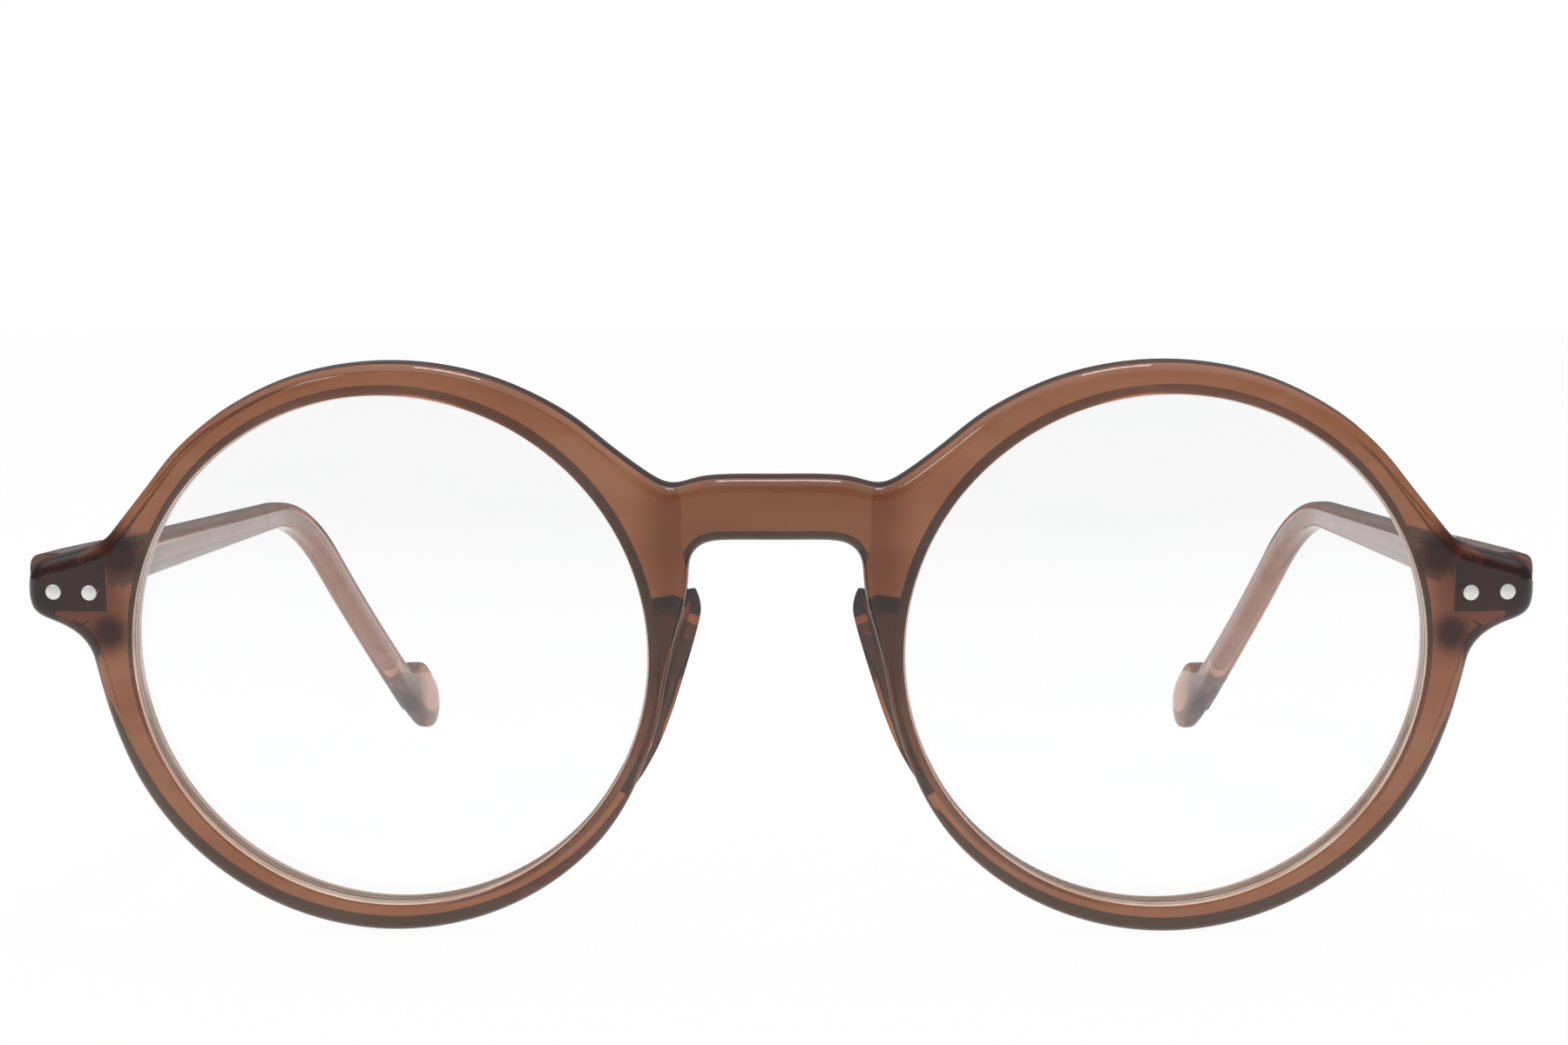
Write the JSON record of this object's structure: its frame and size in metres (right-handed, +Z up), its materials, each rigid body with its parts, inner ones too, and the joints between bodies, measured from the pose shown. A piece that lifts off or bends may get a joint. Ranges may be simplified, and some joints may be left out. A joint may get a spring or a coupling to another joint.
{
  "type": "eyeglasses",
  "caption": "Round full-rim eyeglasses in translucent brown acetate with a keyhole bridge, clear lenses, riveted endpieces and folding temples with curved ends.",
  "frame": {"origin": "centre of the bounding box's bottom face: midway between the two rims, midway between the front's foremost edge and the rearmost point of the temple tips, on the surface that the glasses stand on", "axes": "+Z up with the glasses standing open on their rims and temple tips, the front faces -Y, the temples run back along +Y, +X is the wearer's left. Left and right in node names are the wearer's"},
  "size_m": [0.1382, 0.1488, 0.0532],
  "materials": {
    "acetate": "polished translucent brown acetate",
    "lens": "clear polished plastic",
    "hinge_steel": "tumbled nickel-coloured metal",
    "rivet_metal": "polished silver-coloured metal",
    "wire_steel": "drawn bare metal",
    "inlay_metal": "dark slate, smooth"
  },
  "bodies": {
    "front": {"front_frame": "acetate", "lens_left": "lens", "nose_pad_left": "acetate", "front_hinge_left": "hinge_steel", "front_rivets_left": "rivet_metal", "hinge_screw_left": "hinge_steel", "lens_right": "lens", "nose_pad_right": "acetate", "front_hinge_right": "hinge_steel", "front_rivets_right": "rivet_metal", "hinge_screw_right": "hinge_steel"},
    "left_temple": {"temple_left": "acetate", "temple_hinge_left": "hinge_steel", "temple_rivets_left": "rivet_metal", "core_wire_left": "wire_steel", "tip_inlay_left": "inlay_metal"},
    "right_temple": {"temple_right": "acetate", "temple_hinge_right": "hinge_steel", "temple_rivets_right": "rivet_metal", "core_wire_right": "wire_steel", "tip_inlay_right": "inlay_metal"}
  },
  "joints": [
    {"name": "left_temple_fold", "type": "hinge", "parent": "front", "child": "left_temple", "pos_m": [0.0636, -0.06333, 0.03246], "axis": [0, -0.1219, 0.9925], "range_deg": [0, 86]},
    {"name": "right_temple_fold", "type": "hinge", "parent": "front", "child": "right_temple", "pos_m": [-0.0636, -0.06333, 0.03246], "axis": [0, 0.1219, -0.9925], "range_deg": [0, 81]}
  ]
}
